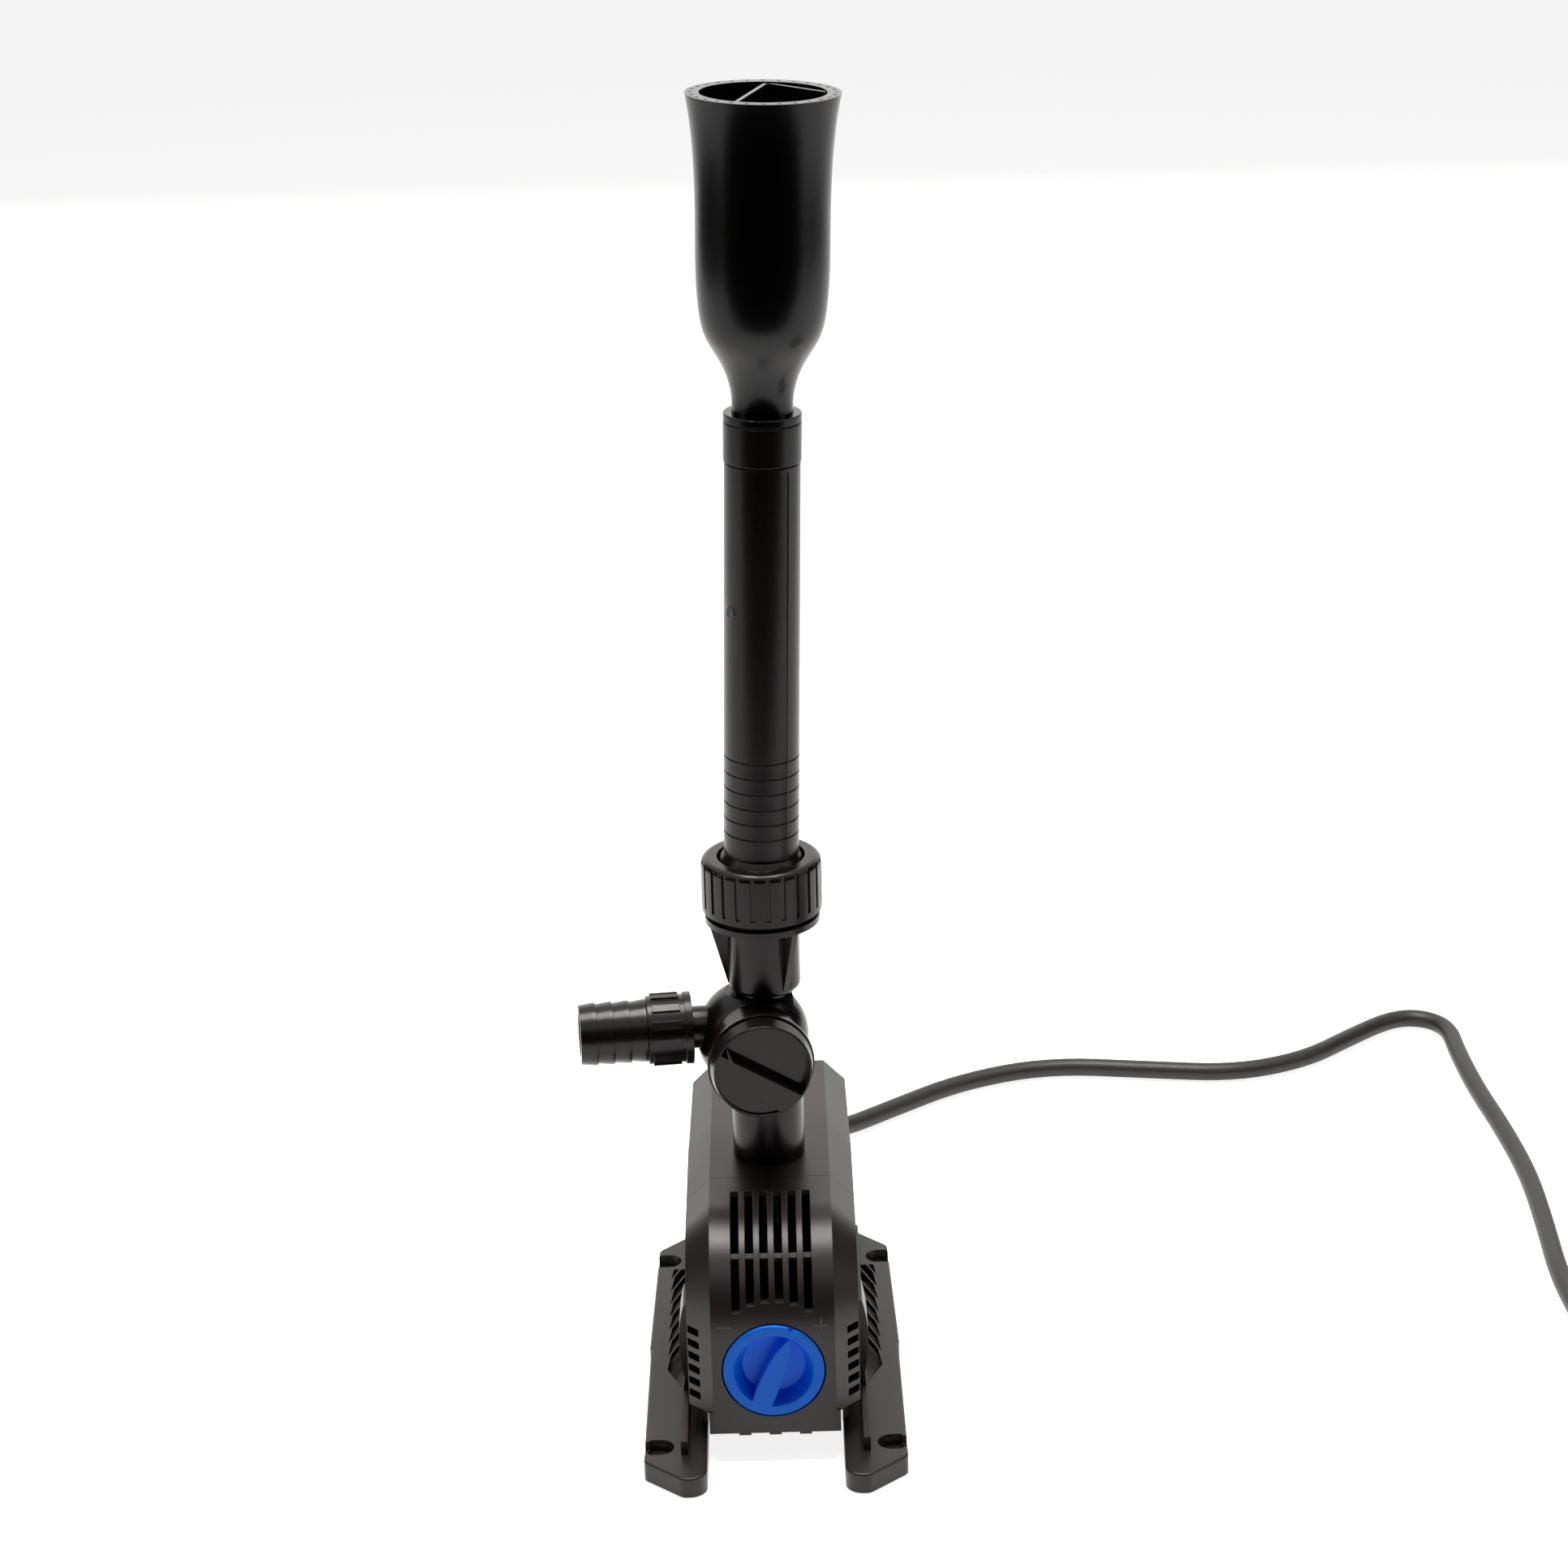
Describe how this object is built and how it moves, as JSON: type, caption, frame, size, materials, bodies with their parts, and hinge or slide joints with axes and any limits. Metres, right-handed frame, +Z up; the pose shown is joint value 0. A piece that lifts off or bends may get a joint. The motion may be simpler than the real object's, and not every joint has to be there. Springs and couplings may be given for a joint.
{
  "type": "fountain submersible pump",
  "caption": "Submersible pond pump with strainer cage, flow dial, diverter valve with side hose barb, tilting riser tube and ring-jet fountain nozzle.",
  "frame": {"origin": "on the floor, under the axis of the pump's outlet", "axes": "+Z up along the outlet, -Y out through the dial, -X towards the hose barb"},
  "size_m": [0.6218, 0.4949, 0.5257],
  "materials": {
    "housing_plastic": "satin, fine grain",
    "frame_plastic": "satin, fine grain",
    "outlet_plastic": "semi-gloss",
    "nozzle_plastic": "gloss",
    "dial_blue": "satin",
    "inner_plastic": "satin",
    "seal_rubber": "matt",
    "cord_rubber": "satin",
    "screw_steel": "plain",
    "core_steel": "laminated",
    "coil_wire": "enamelled wire",
    "resin": "cast",
    "ceramic": "polished",
    "magnet": "sintered",
    "plug_metal": "plain"
  },
  "bodies": {
    "pump": {"base_frame": "frame_plastic", "base_screws": "screw_steel", "middle_housing": "housing_plastic", "rear_housing": "housing_plastic", "strainer_cage": "housing_plastic", "volute_cover": "outlet_plastic", "chamber_seal": "seal_rubber", "chamber_screws": "screw_steel", "outlet_seal": "seal_rubber", "motor_can": "inner_plastic", "stator_core": "core_steel", "stator_coil_left": "coil_wire", "stator_coil_right": "coil_wire", "potting_resin": "resin", "rotor_shaft": "ceramic", "front_bush": "ceramic", "rear_bush": "seal_rubber", "cord_gland": "housing_plastic", "strain_relief": "cord_rubber", "power_cord": "cord_rubber", "cord_coil": "cord_rubber", "cord_tail": "cord_rubber", "coil_tie": "inner_plastic", "plug_body": "cord_rubber", "plug_pins": "plug_metal"},
    "rotor": {"impeller": "inner_plastic", "magnet_rotor": "magnet"},
    "dial": {"flow_dial": "dial_blue", "dial_stem": "inner_plastic", "throttle_plate": "inner_plastic", "dial_clip": "screw_steel"},
    "clip_left": {"side_clip_left": "housing_plastic"},
    "clip_right": {"side_clip_right": "housing_plastic"},
    "diverter": {"diverter_body": "outlet_plastic", "valve_cover": "outlet_plastic", "riser_socket": "outlet_plastic", "hose_barb": "outlet_plastic", "side_gasket": "seal_rubber"},
    "valve": {"diverter_knob": "outlet_plastic", "valve_spool": "inner_plastic", "spool_seal": "seal_rubber"},
    "side_nut": {"side_nut": "outlet_plastic"},
    "riser_nut": {"riser_nut": "outlet_plastic"},
    "ball_seat": {"ball_seat": "inner_plastic"},
    "riser": {"riser_tube": "outlet_plastic"},
    "collar": {"riser_collar": "outlet_plastic"},
    "nozzle": {"nozzle_stem": "nozzle_plastic", "stem_seal": "seal_rubber", "nozzle_shell": "nozzle_plastic", "nozzle_insert": "nozzle_plastic", "nozzle_vane": "nozzle_plastic"}
  },
  "joints": [
    {"name": "rotor_spin", "type": "hinge", "parent": "pump", "child": "rotor", "pos_m": [0, 0, 0.0404], "axis": [0, 1, 0], "continuous": true},
    {"name": "dial_turn", "type": "hinge", "parent": "pump", "child": "dial", "pos_m": [0, -0.08, 0.0404], "axis": [0, -1, 0], "range_deg": [-23, 66]},
    {"name": "clip_left_flex", "type": "hinge", "parent": "pump", "child": "clip_left", "pos_m": [-0.036, -0.047, 0.0122], "axis": [0, -1, 0], "range_deg": [0, 8], "stiffness_Nm_per_rad": 0.05},
    {"name": "clip_right_flex", "type": "hinge", "parent": "pump", "child": "clip_right", "pos_m": [0.036, -0.047, 0.0122], "axis": [0, 1, 0], "range_deg": [0, 8], "stiffness_Nm_per_rad": 0.05},
    {"name": "diverter_swivel", "type": "hinge", "parent": "pump", "child": "diverter", "pos_m": [0, 0, 0.11], "axis": [0, 0, 1], "continuous": true},
    {"name": "valve_turn", "type": "hinge", "parent": "diverter", "child": "valve", "pos_m": [-0.00527, -0.00057, 0.1466], "axis": [0.108, -0.9942, 0], "range_deg": [-51, 39]},
    {"name": "side_nut_turn", "type": "hinge", "parent": "diverter", "child": "side_nut", "pos_m": [-0.03778, -0.0041, 0.1509], "axis": [0.9942, 0.108, 0], "continuous": true},
    {"name": "riser_nut_turn", "type": "hinge", "parent": "diverter", "child": "riser_nut", "pos_m": [0, 0, 0.212], "axis": [0, 0, 1], "continuous": true},
    {"name": "riser_swivel", "type": "hinge", "parent": "diverter", "child": "ball_seat", "pos_m": [0, 0, 0.2], "axis": [0, 0, 1], "continuous": true},
    {"name": "riser_tilt", "type": "hinge", "parent": "ball_seat", "child": "riser", "pos_m": [0, 0, 0.214], "axis": [0, 1, 0], "range_deg": [-12.65, 9.35]},
    {"name": "collar_turn", "type": "hinge", "parent": "riser", "child": "collar", "pos_m": [0.00518, 0, 0.39393], "axis": [0.0288, 0, 0.9996], "continuous": true},
    {"name": "nozzle_turn", "type": "hinge", "parent": "riser", "child": "nozzle", "pos_m": [0.00708, 0, 0.4599], "axis": [0.0288, 0, 0.9996], "continuous": true}
  ]
}
